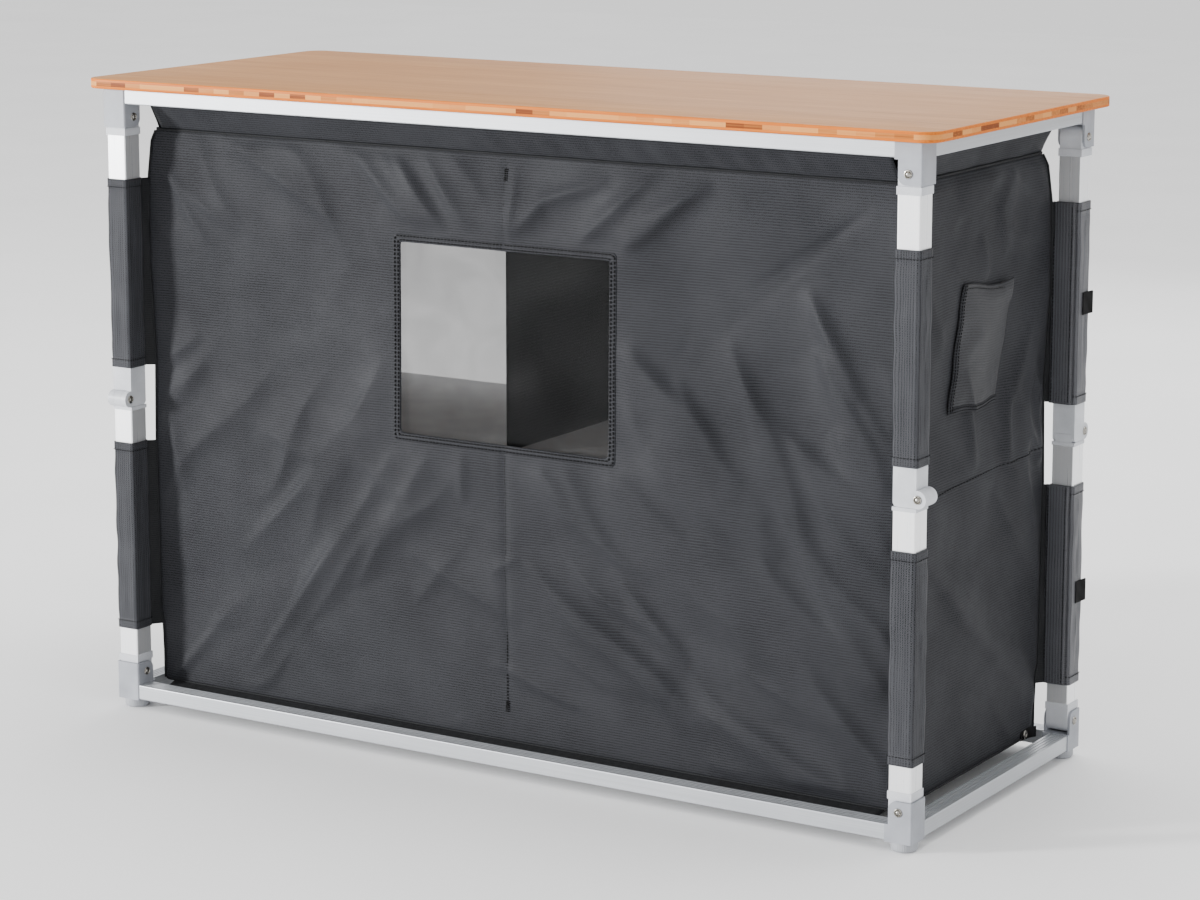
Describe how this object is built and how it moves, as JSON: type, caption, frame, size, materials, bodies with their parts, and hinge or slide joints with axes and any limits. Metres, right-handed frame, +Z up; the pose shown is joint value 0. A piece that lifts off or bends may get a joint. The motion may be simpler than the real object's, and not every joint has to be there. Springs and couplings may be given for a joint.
{
  "type": "camping cupboard",
  "caption": "Folding camping cupboard: bamboo worktop on an aluminium frame with knee-jointed corner legs, hung with a grey fabric body that has shelves, a window and a cable flap",
  "frame": {"origin": "on the floor, under the middle of the frame, which is the bottom centre of the bounding box", "axes": "X along the worktop's long side, with +X to the right when the window side is looked at; -Y is the window side, +Y the side that the shelves open to; Z up"},
  "size_m": [1.035, 0.423, 0.7115],
  "materials": {
    "anodised_aluminium": "satin anodised, fine lengthwise drawing lines",
    "bright_aluminium": "satin anodised, light",
    "grey_moulding": "satin glass-filled nylon",
    "light_grey_moulding": "satin glass-filled nylon",
    "rivet_steel": "domed rivet heads",
    "bamboo": "clear satin lacquer over laminated bamboo",
    "grey_polyester": "coated 600D polyester, faint sheen",
    "black_polyester": "lining polyester",
    "clear_film": "clear PVC film",
    "grey_board": "smooth board"
  },
  "bodies": {
    "base_frame": {"base_rail_window": "anodised_aluminium", "base_rail_shelf": "anodised_aluminium", "base_rail_left": "anodised_aluminium", "base_rail_right": "anodised_aluminium", "base_corner_window_right": "grey_moulding", "base_corner_shelf_right": "grey_moulding", "base_corner_shelf_left": "grey_moulding", "base_corner_window_left": "grey_moulding", "base_rivets": "rivet_steel", "base_boards": "grey_board", "cover": "grey_polyester", "window_film": "clear_film", "divider": "black_polyester", "cable_flap": "grey_polyester", "door_rolls": "grey_polyester"},
    "lower_leg_window_right": {"lower_tube_window_right": "bright_aluminium", "lower_fittings_window_right": "light_grey_moulding", "lower_sleeve_window_right": "grey_polyester"},
    "upper_leg_window_right": {"upper_tube_window_right": "bright_aluminium", "upper_fittings_window_right": "light_grey_moulding", "upper_sleeve_window_right": "grey_polyester", "knee_pin_window_right": "rivet_steel"},
    "lower_leg_shelf_right": {"lower_tube_shelf_right": "bright_aluminium", "lower_fittings_shelf_right": "light_grey_moulding", "lower_sleeve_shelf_right": "grey_polyester"},
    "upper_leg_shelf_right": {"upper_tube_shelf_right": "bright_aluminium", "upper_fittings_shelf_right": "light_grey_moulding", "upper_sleeve_shelf_right": "grey_polyester", "knee_pin_shelf_right": "rivet_steel"},
    "lower_leg_shelf_left": {"lower_tube_shelf_left": "bright_aluminium", "lower_fittings_shelf_left": "light_grey_moulding", "lower_sleeve_shelf_left": "grey_polyester"},
    "upper_leg_shelf_left": {"upper_tube_shelf_left": "bright_aluminium", "upper_fittings_shelf_left": "light_grey_moulding", "upper_sleeve_shelf_left": "grey_polyester", "knee_pin_shelf_left": "rivet_steel"},
    "lower_leg_window_left": {"lower_tube_window_left": "bright_aluminium", "lower_fittings_window_left": "light_grey_moulding", "lower_sleeve_window_left": "grey_polyester"},
    "upper_leg_window_left": {"upper_tube_window_left": "bright_aluminium", "upper_fittings_window_left": "light_grey_moulding", "upper_sleeve_window_left": "grey_polyester", "knee_pin_window_left": "rivet_steel"},
    "top_frame": {"top_rail_window": "anodised_aluminium", "top_rail_shelf": "anodised_aluminium", "top_rail_left": "anodised_aluminium", "top_rail_right": "anodised_aluminium", "top_corner_window_right": "grey_moulding", "top_corner_shelf_right": "grey_moulding", "top_corner_shelf_left": "grey_moulding", "top_corner_window_left": "grey_moulding", "top_rivets": "rivet_steel", "worktop": "bamboo"},
    "shelves": {"shelf_boards": "grey_board"},
    "foot_window_right": {"foot_window_right": "grey_moulding"},
    "foot_shelf_right": {"foot_shelf_right": "grey_moulding"},
    "foot_shelf_left": {"foot_shelf_left": "grey_moulding"},
    "foot_window_left": {"foot_window_left": "grey_moulding"}
  },
  "joints": [
    {"name": "fold", "type": "hinge", "parent": "base_frame", "child": "lower_leg_shelf_right", "pos_m": [0.485, 0.185, 0.0417], "axis": [1, 0, 0], "range_deg": [0, 88], "deforming": ["cover", "window_film", "divider", "cable_flap", "door_rolls"]},
    {"name": "knee_shelf_right", "type": "hinge", "parent": "lower_leg_shelf_right", "child": "upper_leg_shelf_right", "pos_m": [0.485, 0.199, 0.3554], "axis": [-1, 0, 0], "range_deg": [0, 176]},
    {"name": "hip_window_right", "type": "hinge", "parent": "base_frame", "child": "lower_leg_window_right", "pos_m": [0.485, -0.185, 0.0417], "axis": [0, -1, 0], "range_deg": [0, 88]},
    {"name": "knee_window_right", "type": "hinge", "parent": "lower_leg_window_right", "child": "upper_leg_window_right", "pos_m": [0.499, -0.185, 0.3554], "axis": [0, 1, 0], "range_deg": [0, 176]},
    {"name": "hip_shelf_left", "type": "hinge", "parent": "base_frame", "child": "lower_leg_shelf_left", "pos_m": [-0.485, 0.185, 0.0417], "axis": [0, 1, 0], "range_deg": [0, 88]},
    {"name": "knee_shelf_left", "type": "hinge", "parent": "lower_leg_shelf_left", "child": "upper_leg_shelf_left", "pos_m": [-0.499, 0.185, 0.3554], "axis": [0, -1, 0], "range_deg": [0, 176]},
    {"name": "hip_window_left", "type": "hinge", "parent": "base_frame", "child": "lower_leg_window_left", "pos_m": [-0.485, -0.185, 0.0417], "axis": [-1, 0, 0], "range_deg": [0, 88]},
    {"name": "knee_window_left", "type": "hinge", "parent": "lower_leg_window_left", "child": "upper_leg_window_left", "pos_m": [-0.485, -0.199, 0.3554], "axis": [1, 0, 0], "range_deg": [0, 176]},
    {"name": "top_level", "type": "hinge", "parent": "upper_leg_shelf_right", "child": "top_frame", "pos_m": [0.485, 0.185, 0.6691], "axis": [1, 0, 0], "range_deg": [0, 88]},
    {"name": "shelf_drop", "type": "slide", "parent": "base_frame", "child": "shelves", "axis": [0, 0, -1], "range_m": [0, 0.29]},
    {"name": "level_window_right", "type": "slide", "parent": "base_frame", "child": "foot_window_right", "axis": [0, 0, -1], "range_m": [0, 0.008]},
    {"name": "level_shelf_right", "type": "slide", "parent": "base_frame", "child": "foot_shelf_right", "axis": [0, 0, -1], "range_m": [0, 0.008]},
    {"name": "level_shelf_left", "type": "slide", "parent": "base_frame", "child": "foot_shelf_left", "axis": [0, 0, -1], "range_m": [0, 0.008]},
    {"name": "level_window_left", "type": "slide", "parent": "base_frame", "child": "foot_window_left", "axis": [0, 0, -1], "range_m": [0, 0.008]}
  ],
  "couplings": [
    {"joint": "knee_shelf_right", "follows": "fold", "ratio": 2},
    {"joint": "hip_window_right", "follows": "fold", "ratio": 1},
    {"joint": "knee_window_right", "follows": "fold", "ratio": 2},
    {"joint": "hip_shelf_left", "follows": "fold", "ratio": 1},
    {"joint": "knee_shelf_left", "follows": "fold", "ratio": 2},
    {"joint": "hip_window_left", "follows": "fold", "ratio": 1},
    {"joint": "knee_window_left", "follows": "fold", "ratio": 2},
    {"joint": "top_level", "follows": "fold", "ratio": 1},
    {"joint": "shelf_drop", "follows": "fold", "m_per_rad": 0.1888}
  ]
}
